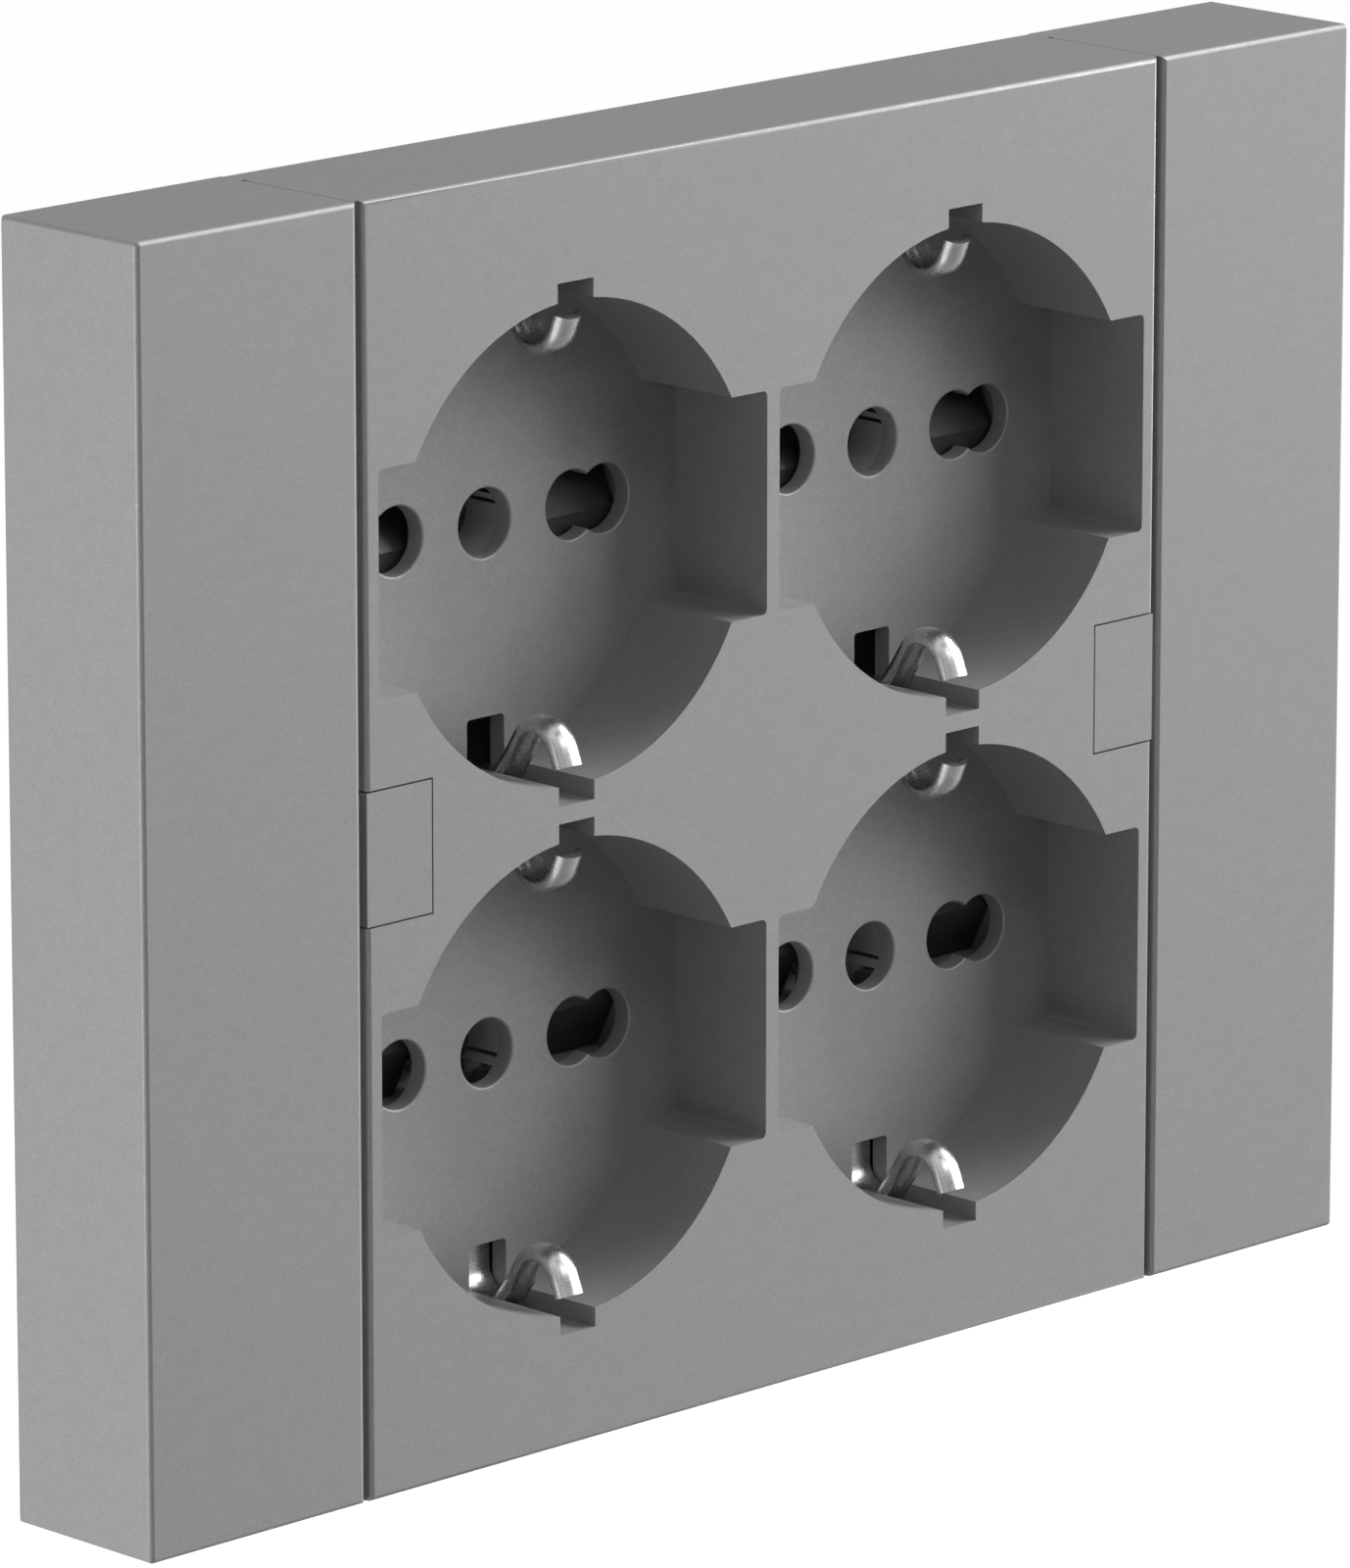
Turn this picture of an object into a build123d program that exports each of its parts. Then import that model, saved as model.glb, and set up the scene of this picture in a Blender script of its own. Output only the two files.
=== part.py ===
from build123d import *
import math
import os

# Recessed quadruple socket: a cover with four deep recesses between two end trims,
# over a base that drops into a wall box. Millimetres. X to the right, Y into the wall, Z up.
# The origin lies on the wall plane, midway between the two fixing holes.
# A depth is measured from the front face, so y = depth - trim_depth.

# Sockets
recess_radius = 19.33
recess_depth = 10.3
floor_thickness = 1.6
cup_wall = 1.4
cup_sides = 16
notch_step = 1.695
notch_height = 18.1
notch_round = 0.5
slot_step = 1.47
socket_wall_x = 1.38
socket_wall_z = 1.4

# Pin holes
pin_hole_radius = 2.8
inner_pin_place = 9.5
outer_pin_place = 13.0
collar_wall = 1.1
collar_end_gap = 0.5
collar_slit = 0.3
collar_slit_height = 0.85
collar_window_height = 1.75

# Outside of the cover and the trims
side_margin = 1.41
end_margin = 9.2
trim_width = 22.4
wall_reach = 4.9
cover_rim_gap = 0.2
shell_wall = 2.0
edge_round = 0.4

# Shadow groove and seam between a trim and the cover
groove_width = 0.65
groove_depth = 0.7
seam_gap = 0.1
seam_land_depth = 2.3
seam_pit_half = 0.25
seam_pit_depth = 0.4

# Keys over the fixing holes
key_width = 7.0
key_height = 10.9
key_thickness = 1.8
key_gap = 0.15
key_ledge = 0.5
key_leg_length = 4.5
key_leg_thickness = 0.8
key_leg_clearance = 0.1
well_depth = 9.0
well_wall = 1.4
fixing_hole_radius = 2.1
fixing_boss_radius = 3.5

# Snap tongues and ribs of the trims
tongue_inset_z = 14.0
tongue_width = 5.0
tongue_thickness = 1.5
tongue_depth = 6.0
tongue_hook = 1.2
tongue_clearance = 0.25
trim_rib_thickness = 1.2
trim_rib_set_back = 3.0
trim_rib_spacing = 25.0

# Earth strip
strip_thickness = 0.7
strip_width = 2.9
strip_side_gap = 0.48
floor_window_gap = 0.1
clip_tip_depth = 0.9
clip_tip_inset = 1.53
clip_crest_depth = 4.4
clip_crest_inset = 5.93
clip_foot_depth = 8.9
clip_foot_gap = 0.55
window_start_inset = 3.73
window_round = 0.38
near_leg_inner = 3.5
crest_bend = 1.9
foot_bend = 1.3
leg_fold = 0.9
leg_overlap = 1.0
eye_radius = 4.6
eye_hole_margin = 0.2
sleeve_radius = 2.45
sleeve_wall = 0.6
sleeve_slit = 0.7

# Shutter guide and shutter
guide_wall = 1.3
guide_front_gap = 0.1
guide_floor = 1.1
shutter_side_gap = 0.2
shutter_thickness = 3.6
shutter_cover_side = 0.3
shutter_cover_top = 0.1
shutter_cover_bottom = 0.5
ramp_start_z = -1.3
ramp_rise = 2.1
bridge_gap = 0.9
bridge_height = 2.0
bridge_set_back = 0.6
arm_width = 1.4
shutter_travel = 5.5

# Shutter spring
spring_length = 8.2
spring_room_half = 2.0
spring_radius = 1.25
spring_wire_radius = 0.18
spring_turns = 4
spring_steps = 6
spring_seat_gap = 0.05

# Contact plate
plate_thickness = 1.7
plate_clearance = 0.2

# Line and neutral contacts and their bars
contact_length = 8.2
contact_thickness = 0.6
contact_half_gap = 1.7
contact_half_height = 2.2
contact_flare = 3.0
contact_front_gap = 0.6
contact_mouth = 1.6
contact_throat = 3.0
contact_depth = 9.2
contact_tab = 1.8
bar_thickness = 0.8
bar_width = 4.0
bar_spacing = 1.6
tab_width = 3.0
earth_bar_set_back = 1.2
link_height = 4.0
chamber_clearance = 0.3

# Base housing
insert_clearance = 0.3
flange_clearance = 0.5
base_inset_z = 10.5
base_rear_wall = 2.9
well_rim_wall = 1.6
boss_notch_clearance = 0.8
base_chamfer = 1.5

# Corner posts of the cover, cups of the base and the screws that join them
edge_post_inset_x = 6.7
edge_post_inset_z = 6.5
edge_post_radius = 3.6
edge_post_set_back = 4.0
edge_cup_radius = 4.2
edge_cup_floor = 1.7
screw_radius = 1.4
screw_length = 9.5
screw_head_radius = 3.0
screw_head_height = 1.4
screw_clearance = 0.05
screw_well_clearance = 0.3
screw_pass_radius = 1.7
drive_slot_width = 0.8
drive_slot_depth = 0.7
drive_slot_reach = 2.0

# Terminals
terminal_width = 7.4
terminal_height = 7.6
terminal_length = 8.0
terminal_end_wall = 1.5
wire_hole_radius = 1.9
wire_entry_clearance = 0.2
terminal_screw_radius = 1.5
terminal_screw_head_radius = 2.4
terminal_screw_head_height = 1.1

# Rounds that stay out of sight are drawn with this many flats
hidden_sides = 8

# Places and outsides, worked out from the sizes above
notch_width = 2 * (recess_radius + notch_step)
slot_reach = recess_radius + slot_step
slot_width = strip_width + 2 * strip_side_gap
window_width = slot_width + 2 * floor_window_gap
window_start = recess_radius - window_start_inset
socket_pitch_x = notch_width + socket_wall_x
socket_pitch_z = 2 * slot_reach + socket_wall_z
half_height = socket_pitch_z / 2 + slot_reach + end_margin
face_half = socket_pitch_x / 2 + notch_width / 2 + side_margin
half_width = face_half + groove_width + trim_width
body_half = face_half + groove_width - seam_gap
cavity_half_x = body_half - shell_wall
cavity_half_z = half_height - shell_wall
key_inner_x = face_half - key_width
fixing_x = (key_inner_x + face_half) / 2
tongue_place_z = half_height - tongue_inset_z

# Depths, from the front to the back
floor_back = recess_depth + floor_thickness
trim_depth = recess_depth + wall_reach
cover_depth = trim_depth - cover_rim_gap
well_back = well_depth + floor_thickness
guide_front = floor_back + guide_front_gap
shutter_front = guide_front + shutter_side_gap
shutter_back = shutter_front + shutter_thickness
ramp_end_depth = shutter_front + ramp_rise
bridge_front = shutter_front + bridge_set_back
guide_floor_front = shutter_back + shutter_side_gap
guide_back = guide_floor_front + guide_floor
spring_depth = (guide_front + guide_floor_front) / 2
collar_depth = guide_floor_front - collar_end_gap
near_leg_depth = guide_front + strip_thickness / 2
flange_front = near_leg_depth + strip_thickness / 2 + flange_clearance
plate_back = guide_back + plate_thickness
bar_depth = plate_back + strip_thickness
contact_front = plate_back + contact_front_gap
contact_pinch_depth = contact_front + contact_mouth
contact_back = contact_front + contact_depth
earth_link_depth = contact_back - earth_bar_set_back
line_link_depth = contact_back + contact_tab
neutral_link_depth = line_link_depth + bar_thickness + bar_spacing
base_back = neutral_link_depth + bar_thickness + base_rear_wall
edge_post_depth = cover_depth - edge_post_set_back

# Inserts, seen from the middle of a socket
clip_tip_height = recess_radius - clip_tip_inset
clip_crest_height = recess_radius - clip_crest_inset
clip_foot_height = slot_reach - clip_foot_gap
eye_hole_radius = pin_hole_radius + eye_hole_margin
collar_radius = pin_hole_radius + collar_wall
contact_place = (inner_pin_place + outer_pin_place) / 2
shutter_inner_x = inner_pin_place - pin_hole_radius - shutter_cover_side
shutter_outer_x = outer_pin_place + pin_hole_radius + shutter_cover_side
shutter_top = pin_hole_radius + shutter_cover_top
shutter_bottom = -pin_hole_radius - shutter_cover_bottom
bridge_top = shutter_bottom - bridge_gap
bridge_bottom = bridge_top - bridge_height
spring_room_end = bridge_bottom - spring_length

# The base, its posts and its terminals
guide_reach = shutter_outer_x + shutter_side_gap + guide_wall
base_half_x = socket_pitch_x / 2 + guide_reach + insert_clearance + well_rim_wall
base_half_z = half_height - base_inset_z
boss_notch_x = fixing_x - fixing_boss_radius - boss_notch_clearance
boss_notch_z = fixing_boss_radius + boss_notch_clearance
edge_post_x = body_half - edge_post_inset_x
edge_post_z = half_height - edge_post_inset_z
terminal_spacing = socket_pitch_x / 2 - contact_place
terminal_z = terminal_height / 2 + chamber_clearance + well_rim_wall - base_half_z

# A cut runs past a face by the first value, an added piece runs into its body by the second,
# and a cut or seat starts before a floor by the third
through = 1.0
fuse = 0.5
lap = 0.1

# Upper sockets stand upright, the lower two have their inserts turned half round.
sockets = [
    (1, -socket_pitch_x / 2, socket_pitch_z / 2, 0),
    (2, socket_pitch_x / 2, socket_pitch_z / 2, 0),
    (3, -socket_pitch_x / 2, -socket_pitch_z / 2, 180),
    (4, socket_pitch_x / 2, -socket_pitch_z / 2, 180),
]


def block(x0, x1, d0, d1, z0, z1):
    """A box between two x values, two depths and two heights."""
    size = Box(abs(x1 - x0), abs(d1 - d0), abs(z1 - z0))
    return Pos((x0 + x1) / 2, (d0 + d1) / 2 - trim_depth, (z0 + z1) / 2) * size


def drum(x, z, radius, d0, d1):
    """A round bar along the depth."""
    bar = Rot(90, 0, 0) * Cylinder(radius, d1 - d0)
    return Pos(x, (d0 + d1) / 2 - trim_depth, z) * bar


def slab(sketch, d0, d1):
    """A sketch in X and Z, as thick as the way between two depths."""
    back = Plane(origin=(0, d1 - trim_depth, 0), x_dir=(1, 0, 0), z_dir=(0, -1, 0))
    return extrude(back * sketch, amount=d1 - d0)


def hidden_bar(x, z, radius, d0, d1):
    """A bar along the depth that stays inside its radius."""
    return slab(Pos(x, z) * RegularPolygon(radius, hidden_sides), d0, d1)


def hidden_hole(x, z, radius, d0, d1):
    """A hole along the depth that is nowhere narrower than its radius."""
    return slab(Pos(x, z) * RegularPolygon(radius, hidden_sides, major_radius=False), d0, d1)


def upright_bar(x, depth, radius, z0, z1, is_hole=False):
    """A hidden bar or hole along the height."""
    section = RegularPolygon(radius, hidden_sides, major_radius=not is_hole)
    return Pos(x, depth - trim_depth, z0) * extrude(section, amount=z1 - z0)


def side_profile(sketch, x0, x1):
    """A sketch of depth and height, as wide as the way between two x values."""
    side = Plane(origin=(x0, -trim_depth, 0), x_dir=(0, 1, 0), z_dir=(1, 0, 0))
    return extrude(side * sketch, amount=x1 - x0)


def bent_strip(points, bends, thickness, x0, x1):
    """A strip of sheet that follows a side path, with rounded bends if their radii are given."""
    path = FilletPolyline(*points, radius=bends) if bends else Polyline(*points)
    return side_profile(trace(path, thickness), x0, x1)


def folded_strip(points, fold, thickness, x0, x1):
    """A hidden strip of sheet whose corners are each folded in two steps."""
    corners = [Vector(*point) for point in points]
    path = [corners[0]]
    for before, corner, after in zip(corners, corners[1:], corners[2:]):
        path.append(corner + (before - corner).normalized() * fold)
        path.append(corner + (after - corner).normalized() * fold)
    path.append(corners[-1])
    return side_profile(trace(Polyline(*path), thickness), x0, x1)


def front_edges(part):
    """The edges that lie on the front face."""
    return part.edges().group_by(Axis.Y)[0]


def outline_sketch():
    """The opening of one recess: a circle with a notch on each side."""
    opening = Circle(recess_radius) + Rectangle(notch_width, notch_height)
    columns = opening.vertices().group_by(Axis.X)
    return fillet(columns[0] + columns[-1], notch_round)


def floor_window():
    """The window in a recess floor behind the upper clip, rounded at its inner end."""
    middle = (window_start + slot_reach) / 2
    window = Pos(0, middle) * Rectangle(window_width, slot_reach - window_start)
    return fillet(window.vertices().group_by(Axis.Y)[0], window_round)


def pin_hole_pairs(radius, d0, d1):
    """The two figure-of-eight holes for the current pins."""
    holes = Part()
    for side in (-1, 1):
        for place in (inner_pin_place, outer_pin_place):
            holes += drum(side * place, 0, radius, d0, d1)
    return holes


def pin_passages(d0, d1):
    """The two plain windows behind the figure-of-eight holes."""
    inner = inner_pin_place - pin_hole_radius
    outer = outer_pin_place + pin_hole_radius
    window = block(inner, outer, d0, d1, -pin_hole_radius, pin_hole_radius)
    return window + mirror(window, Plane.YZ)


def cup_walls():
    """The outside of one recess behind the face."""
    ring = RegularPolygon(recess_radius + cup_wall, cup_sides, major_radius=False)
    box = Rectangle(notch_width + 2 * cup_wall, notch_height + 2 * cup_wall)
    backing = Rectangle(slot_width + 2 * cup_wall, 2 * (slot_reach + cup_wall))
    return slab(ring + box + backing, shell_wall - fuse, floor_back)


def recess_cuts():
    """All that is cut out of one socket, seen upright."""
    cuts = slab(outline_sketch(), -through, recess_depth)
    for side in (-1, 1):
        cuts += block(
            -slot_width / 2,
            slot_width / 2,
            -through,
            recess_depth + lap,
            side * (recess_radius - through),
            side * slot_reach,
        )
    windows = floor_window() + mirror(floor_window(), Plane.XZ)
    cuts += slab(windows, recess_depth - lap, floor_back + through)
    cuts += pin_hole_pairs(pin_hole_radius, recess_depth - lap, floor_back + through)
    cuts += drum(0, 0, pin_hole_radius, recess_depth - lap, collar_depth + through)
    return cuts


def collar():
    """The split collar behind the earth pin's hole, open above for the earth strip."""
    half = collar_radius
    ring = block(-half, half, floor_back - fuse, collar_depth, -half, half)
    slit_top = collar_slit_height + collar_slit
    past = half + through
    end = collar_depth + through
    ring -= block(-past, past, floor_back, end, collar_slit_height, slit_top)
    ring -= block(-past, past, floor_back, end, collar_window_height, past)
    return ring


def fixing_well():
    """The pocket behind a key, with the boss that stands on the wall."""
    inner = key_inner_x - well_wall
    half_z = key_height / 2 + well_wall
    well = block(inner, body_half, shell_wall - fuse, well_back, -half_z, half_z)
    well += hidden_bar(fixing_x, 0, fixing_boss_radius, well_back - fuse, trim_depth)
    return well


def fixing_well_cuts():
    """The seat of the key, the pocket and the fixing hole."""
    half_z = key_height / 2
    seat = block(key_inner_x, body_half + through, -through, key_thickness, -half_z, half_z)
    pocket = block(
        key_inner_x + key_ledge,
        face_half - key_ledge,
        0,
        well_depth,
        -half_z + key_ledge,
        half_z - key_ledge,
    )
    hole = drum(fixing_x, 0, fixing_hole_radius, well_depth - lap, trim_depth + through)
    return seat + pocket + hole


def tongue_windows():
    """The windows in the cover's right side wall that take a trim's tongues."""
    windows = Part()
    half = tongue_width / 2 + tongue_clearance
    deep = tongue_thickness + tongue_hook + 2 * tongue_clearance
    start = tongue_depth - tongue_clearance
    for side in (-1, 1):
        middle = side * tongue_place_z
        windows += block(
            cavity_half_x - through,
            body_half + through,
            start,
            start + deep,
            middle - half,
            middle + half,
        )
    return windows


def seam_pits(x):
    """The small pits where a seam ends on the top and the bottom."""
    depth = cover_depth - seam_land_depth
    half = seam_pit_half
    bottom = half_height - seam_pit_depth
    top = half_height + through
    pit = block(x - half, x + half, depth - half, depth + half, bottom, top)
    return pit + mirror(pit, Plane.XY)


def front_cover():
    """The cover, moulded in one piece with its four recesses, wells and posts."""
    body = block(-face_half, face_half, 0, groove_depth, -half_height, half_height)
    body += block(-body_half, body_half, groove_depth, cover_depth, -half_height, half_height)
    body = fillet(front_edges(body), edge_round)
    cavity_end = cover_depth + through
    body -= block(
        -cavity_half_x, cavity_half_x, shell_wall, cavity_end, -cavity_half_z, cavity_half_z
    )
    for _, x, z, _ in sockets:
        body += Pos(x, 0, z) * cup_walls()
    for x in (-edge_post_x, edge_post_x):
        for z in (-edge_post_z, edge_post_z):
            body += hidden_bar(x, z, edge_post_radius, shell_wall - fuse, edge_post_depth)
            core = screw_radius + screw_clearance
            body -= hidden_hole(x, z, core, shell_wall, edge_post_depth + through)
    well = fixing_well()
    body += well + mirror(well, Plane.YZ)
    for _, x, z, turn in sockets:
        place = Pos(x, 0, z) * Rot(0, turn, 0)
        body += place * collar()
        body -= place * recess_cuts()
    cuts = fixing_well_cuts() + tongue_windows() + seam_pits(body_half + seam_gap / 2)
    body -= cuts
    body -= mirror(cuts, Plane.YZ)
    return body


def right_trim():
    """The right end trim: a hollow moulding, open to the wall, with two snap tongues."""
    inner_x = half_width - trim_width
    trim = block(inner_x, half_width, 0, trim_depth, -half_height, half_height)
    edges = front_edges(trim)
    edges += trim.edges().filter_by(Axis.Y).group_by(Axis.X)[-1]
    trim = fillet(edges, edge_round)
    trim += block(
        body_half,
        inner_x + fuse,
        cover_depth - seam_land_depth,
        cover_depth,
        -half_height,
        half_height,
    )
    hollow = block(
        inner_x + shell_wall,
        half_width - shell_wall,
        shell_wall,
        trim_depth + through,
        -half_height + shell_wall,
        half_height - shell_wall,
    )
    trim -= hollow
    for step in (-1, 0, 1):
        z = step * trim_rib_spacing
        trim += block(
            inner_x + fuse,
            half_width - fuse,
            shell_wall - fuse,
            trim_depth - trim_rib_set_back,
            z - trim_rib_thickness / 2,
            z + trim_rib_thickness / 2,
        )
    half = tongue_width / 2
    tip = cavity_half_x - tongue_clearance - tongue_hook
    for side in (-1, 1):
        z = side * tongue_place_z
        back = tongue_depth + tongue_thickness
        trim += block(tip, inner_x + fuse, tongue_depth, back, z - half, z + half)
        hook_start = cavity_half_x - tongue_clearance
        hook_back = back + tongue_hook + tongue_clearance
        trim += block(tip, hook_start, tongue_depth, hook_back, z - half, z + half)
    trim -= seam_pits(body_half + seam_gap / 2)
    return trim


def right_key():
    """The flush cover over the right fixing hole, held by two spring legs."""
    half_z = key_height / 2 - key_gap
    inner = key_inner_x + key_gap
    key = block(inner, face_half, 0, groove_depth, -half_z, half_z)
    key += block(inner, body_half, groove_depth, key_thickness, -half_z, half_z)
    leg_outer = key_height / 2 - key_ledge - key_leg_clearance
    for side in (-1, 1):
        key += block(
            key_inner_x + key_ledge + key_leg_clearance,
            face_half - key_ledge - key_leg_clearance,
            key_thickness - lap,
            key_thickness + key_leg_length,
            side * (leg_outer - key_leg_thickness),
            side * leg_outer,
        )
    return key


def boss_notches(d0, d1, grow):
    """The room at mid-height for the cover's two fixing bosses."""
    end = base_half_x + through
    half_z = boss_notch_z + grow
    room = block(boss_notch_x - grow, end, d0, d1, -half_z, half_z)
    return room + mirror(room, Plane.YZ)


def terminal_places():
    """Each terminal's name, x and the front of the bar behind it."""
    return [
        ("neutral", -terminal_spacing, neutral_link_depth),
        ("earth", 0, earth_link_depth),
        ("line", terminal_spacing, line_link_depth),
    ]


def pad_with_hole(x, depth):
    """The end of a bar behind its terminal, with a hole for the wire."""
    half_x = terminal_width / 2
    top = terminal_z + terminal_height / 2
    bottom = terminal_z - terminal_height / 2
    pad = block(x - half_x, x + half_x, depth, depth + bar_thickness, bottom, top)
    return pad - wire_way(x, depth)


def wire_way(x, depth):
    """The hole for a wire through a bar that starts at a depth."""
    back = depth + bar_thickness + through
    return hidden_hole(x, terminal_z, wire_hole_radius, depth - through, back)


def column_bar(x, depth, z0, z1, grow=0.0, deep=bar_thickness):
    """An upright run of a bar, or the channel for it where it has grown."""
    half = bar_width / 2 + grow
    return block(x - half, x + half, depth, depth + deep, z0 - grow, z1 + grow)


def cross_bar(x0, x1, z, depth, grow=0.0, deep=bar_thickness):
    """A level run of a bar, or the channel for it where it has grown."""
    half = bar_width / 2 + grow
    return block(x0 - grow, x1 + grow, depth, depth + deep, z - half, z + half)


def current_bar_runs(name, grow, front, back):
    """The runs of the line bar or the neutral bar between two depths."""
    side = 1 if name == "line" else -1
    far_x = -side * (socket_pitch_x / 2 + contact_place)
    near_x = side * (socket_pitch_x / 2 - contact_place)
    reach = socket_pitch_z / 2 + bar_width / 2
    deep = back - front
    runs = column_bar(far_x, front, -reach, reach, grow, deep)
    runs += column_bar(near_x, front, terminal_z, reach, grow, deep)
    left = min(far_x, near_x)
    right = max(far_x, near_x)
    runs += cross_bar(left, right, side * link_height, front, grow, deep)
    return runs


def current_bar(name):
    """A flat bar of sheet that joins four contacts to one terminal."""
    front = line_link_depth if name == "line" else neutral_link_depth
    x = terminal_spacing if name == "line" else -terminal_spacing
    bar = current_bar_runs(name, 0.0, front, front + bar_thickness)
    bar += pad_with_hole(x, front)
    return bar - wire_way(x, front)


def earth_bar_runs(grow, front, back):
    """The runs of the earth bar between two depths."""
    reach = socket_pitch_z / 2 + bar_width / 2
    deep = back - front
    runs = column_bar(0, front, terminal_z, 0, grow, deep)
    for side in (-1, 1):
        runs += column_bar(side * socket_pitch_x / 2, front, -reach, reach, grow, deep)
    runs += cross_bar(-socket_pitch_x / 2, socket_pitch_x / 2, 0, front, grow, deep)
    return runs


def earth_bar():
    """The flat bar that joins the four earth sleeves to the earth terminal."""
    bar = earth_bar_runs(0.0, earth_link_depth, earth_link_depth + bar_thickness)
    bar += pad_with_hole(0, earth_link_depth)
    return bar - wire_way(0, earth_link_depth)


def insert_room():
    """The room in the base for one socket's earth bracket and sleeve, seen upright."""
    half = strip_width / 2 + chamber_clearance
    back = bar_depth + strip_thickness / 2 + chamber_clearance / 2
    far_z = -clip_foot_height - strip_thickness / 2 - chamber_clearance
    room = block(-half, half, plate_back - lap, back, far_z, 0)
    eye = eye_radius + chamber_clearance
    room += block(-eye, eye, plate_back - lap, back, -eye, eye)
    sleeve = sleeve_radius + sleeve_wall + chamber_clearance
    room += block(-sleeve, sleeve, back - lap, earth_link_depth, -sleeve, sleeve)
    return room


def contact_room(x, z):
    """The chamber for one current contact."""
    half_x = contact_length / 2 + chamber_clearance
    half_z = contact_flare + contact_thickness / 2 + chamber_clearance
    back = contact_back + contact_thickness / 2 + chamber_clearance
    return block(x - half_x, x + half_x, plate_back - lap, back, z - half_z, z + half_z)


def base_housing():
    """The base: a flange, a rim round the inserts and a block with chambers for the metal."""
    flange_x = cavity_half_x - flange_clearance
    flange_z = cavity_half_z - flange_clearance
    front = cover_depth - through
    base = block(-base_half_x, base_half_x, front, base_back, -base_half_z, base_half_z)
    upright = base.edges().filter_by(Axis.Y)
    rear = base.edges().group_by(Axis.Y)[-1]
    base = chamfer(upright + rear, base_chamfer)
    base += block(-flange_x, flange_x, flange_front, cover_depth, -flange_z, flange_z)
    base -= block(
        -base_half_x + well_rim_wall,
        base_half_x - well_rim_wall,
        flange_front - through,
        plate_back,
        -base_half_z + well_rim_wall,
        base_half_z - well_rim_wall,
    )
    base += boss_notches(flange_front, base_back - base_chamfer, well_rim_wall) & block(
        -base_half_x, base_half_x, flange_front, base_back, -base_half_z, base_half_z
    )
    base -= boss_notches(flange_front - through, base_back + through, 0.0)
    cup_front = edge_post_depth + guide_front_gap
    for x in (-edge_post_x, edge_post_x):
        for z in (-edge_post_z, edge_post_z):
            half = edge_cup_radius
            base += block(x - half, x + half, cup_front, cover_depth, z - half, z + half)
            well = screw_head_radius + screw_well_clearance
            base -= hidden_hole(x, z, well, cup_front + edge_cup_floor, cover_depth + through)
            base -= hidden_hole(x, z, screw_pass_radius, cup_front - through, cover_depth)
    for _, x, z, turn in sockets:
        base -= Pos(x, 0, z) * Rot(0, turn, 0) * insert_room()
        for side in (-1, 1):
            base -= contact_room(x + side * contact_place, z)
    front = plate_back - lap
    grow = chamber_clearance
    base -= current_bar_runs("line", grow, front, line_link_depth + bar_thickness)
    base -= current_bar_runs("neutral", grow, front, neutral_link_depth + bar_thickness)
    base -= earth_bar_runs(grow, front, earth_link_depth + bar_thickness)
    half_x = terminal_width / 2 + grow
    half_z = terminal_height / 2 + grow
    for _, x, depth in terminal_places():
        back = depth + bar_thickness
        base -= block(x - half_x, x + half_x, front, back, terminal_z - half_z, terminal_z + half_z)
        entry = wire_hole_radius + wire_entry_clearance
        base -= drum(x, terminal_z, entry, back - lap, base_back + through)
        middle = depth - terminal_length / 2
        way = terminal_screw_head_radius + grow
        bottom = -base_half_z - through
        base -= upright_bar(x, middle, way, bottom, terminal_z, is_hole=True)
    return base


def contact_plate():
    """The insulating plate that closes the base over the contacts."""
    half_x = base_half_x - well_rim_wall - plate_clearance
    half_z = base_half_z - well_rim_wall - plate_clearance
    plate = block(-half_x, half_x, guide_back, plate_back, -half_z, half_z)
    front = guide_back - through
    back = plate_back + through
    plate -= boss_notches(front, back, well_rim_wall + plate_clearance)
    half = strip_width / 2 + plate_clearance
    eye = eye_hole_radius
    cuts = pin_passages(front, back)
    cuts += block(-eye, eye, front, back, -eye, eye)
    cuts += block(-half, half, front, back, 0, near_leg_inner + strip_thickness)
    far = clip_foot_height + strip_thickness
    near = clip_foot_height - strip_thickness - leg_fold
    cuts += block(-half, half, front, back, -far, -near)
    for _, x, z, turn in sockets:
        plate -= Pos(x, 0, z) * Rot(0, turn, 0) * cuts
    return plate


def guide_outline(grow):
    """The room in which a shutter slides, or the guide round it where it has grown."""
    side = shutter_outer_x + shutter_side_gap + grow
    top = shutter_top + shutter_side_gap + grow
    wing_end = shutter_bottom - shutter_travel - shutter_side_gap - grow
    bridge_side = shutter_inner_x + arm_width + shutter_side_gap + grow
    bridge_end = bridge_bottom - shutter_travel - shutter_side_gap - grow
    spring_side = spring_room_half + grow
    spring_end = spring_room_end - grow
    room = Pos(0, (top + wing_end) / 2) * Rectangle(2 * side, top - wing_end)
    room += Pos(0, bridge_end / 2) * Rectangle(2 * bridge_side, -bridge_end)
    room += Pos(0, spring_end / 2) * Rectangle(2 * spring_side, -spring_end)
    return room


def shutter_guide():
    """The tray in which one shutter slides, seen upright."""
    guide = slab(guide_outline(guide_wall), guide_front, guide_back)
    front = guide_front - through
    back = guide_back + through
    guide -= slab(guide_outline(0.0), front, guide_floor_front)
    collar = collar_radius + shutter_side_gap
    guide -= block(-collar, collar, front, guide_floor_front, 0, collar)
    hole = eye_hole_radius
    guide -= block(-hole, hole, guide_front, back, -hole, hole)
    guide -= pin_passages(guide_front, back)
    half = strip_width / 2 + shutter_side_gap
    top = shutter_top + shutter_side_gap + guide_wall + through
    guide -= block(-half, half, front, back, 0, top)
    return guide


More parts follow.
